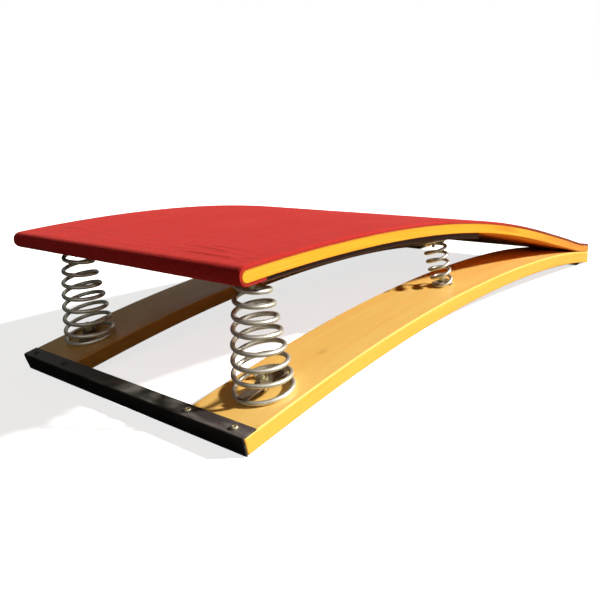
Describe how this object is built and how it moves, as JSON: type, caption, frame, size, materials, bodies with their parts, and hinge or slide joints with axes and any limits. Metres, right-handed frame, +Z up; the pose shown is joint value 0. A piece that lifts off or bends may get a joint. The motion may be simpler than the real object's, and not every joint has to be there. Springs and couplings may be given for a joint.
{
  "type": "gymnastics springboard",
  "caption": "Vaulting springboard: a carpeted, curved laminated deck on coil springs over two arched wooden rails, joined at the low end and tied by a steel angle at the high end.",
  "frame": {"origin": "on the floor, at the centre of the footprint", "axes": "+Y from the high end to the low end, +X to the right when looking along +Y, +Z up"},
  "size_m": [0.6, 1.2072, 0.2556],
  "materials": {
    "deck_wood": "laminated wood edge, clear yellow lacquer, satin gloss",
    "rail_wood": "laminated wood, clear yellow lacquer, satin gloss",
    "batten_wood": "plain wood, dark stain, satin",
    "red_carpet": "short dense needle-felt carpet, matt",
    "black_paint": "black paint on steel, semi-gloss, scuffed",
    "spring_steel": "bright zinc plate, slightly dull",
    "zinc_steel": "yellow-passivated zinc plate",
    "rubber": "moulded black rubber, matt"
  },
  "bodies": {
    "base": {"rail_left": "rail_wood", "foot_front_left": "rubber", "foot_rear_left": "rubber", "angle_bolt_left_inner": "zinc_steel", "angle_bolt_left_outer": "zinc_steel", "angle_nut_left_inner": "zinc_steel", "angle_nut_left_outer": "zinc_steel", "heel_screw_left_inner": "zinc_steel", "heel_screw_left_outer": "zinc_steel", "spring_front_left": "spring_steel", "spring_strap_front_left": "zinc_steel", "spring_bolt_front_left": "zinc_steel", "spring_washer_front_left": "zinc_steel", "spring_nut_front_left": "zinc_steel", "spring_rear_left": "spring_steel", "spring_strap_rear_left": "zinc_steel", "spring_bolt_rear_left": "zinc_steel", "spring_washer_rear_left": "zinc_steel", "spring_nut_rear_left": "zinc_steel", "rail_right": "rail_wood", "foot_front_right": "rubber", "foot_rear_right": "rubber", "angle_bolt_right_inner": "zinc_steel", "angle_bolt_right_outer": "zinc_steel", "angle_nut_right_inner": "zinc_steel", "angle_nut_right_outer": "zinc_steel", "heel_screw_right_inner": "zinc_steel", "heel_screw_right_outer": "zinc_steel", "spring_front_right": "spring_steel", "spring_strap_front_right": "zinc_steel", "spring_bolt_front_right": "zinc_steel", "spring_washer_front_right": "zinc_steel", "spring_nut_front_right": "zinc_steel", "spring_rear_right": "spring_steel", "spring_strap_rear_right": "zinc_steel", "spring_bolt_rear_right": "zinc_steel", "spring_washer_rear_right": "zinc_steel", "spring_nut_rear_right": "zinc_steel", "front_angle_bar": "black_paint"},
    "deck": {"top_strap_front_left": "zinc_steel", "top_bolt_front_left": "zinc_steel", "top_nut_front_left": "zinc_steel", "top_strap_rear_left": "zinc_steel", "top_bolt_rear_left": "zinc_steel", "top_nut_rear_left": "zinc_steel", "batten_left": "batten_wood", "top_strap_front_right": "zinc_steel", "top_bolt_front_right": "zinc_steel", "top_nut_front_right": "zinc_steel", "top_strap_rear_right": "zinc_steel", "top_bolt_rear_right": "zinc_steel", "top_nut_rear_right": "zinc_steel", "batten_right": "batten_wood", "deck_panel": "deck_wood", "carpet_cover": "red_carpet"}
  },
  "joints": [
    {"name": "deck_press", "type": "hinge", "parent": "base", "child": "deck", "pos_m": [0, 0.54863, 0.0395], "axis": [1, 0, 0], "range_deg": [0, 3.5], "stiffness_Nm_per_rad": 34000, "deforming": ["spring_front_left", "spring_rear_left", "spring_front_right", "spring_rear_right"]}
  ]
}
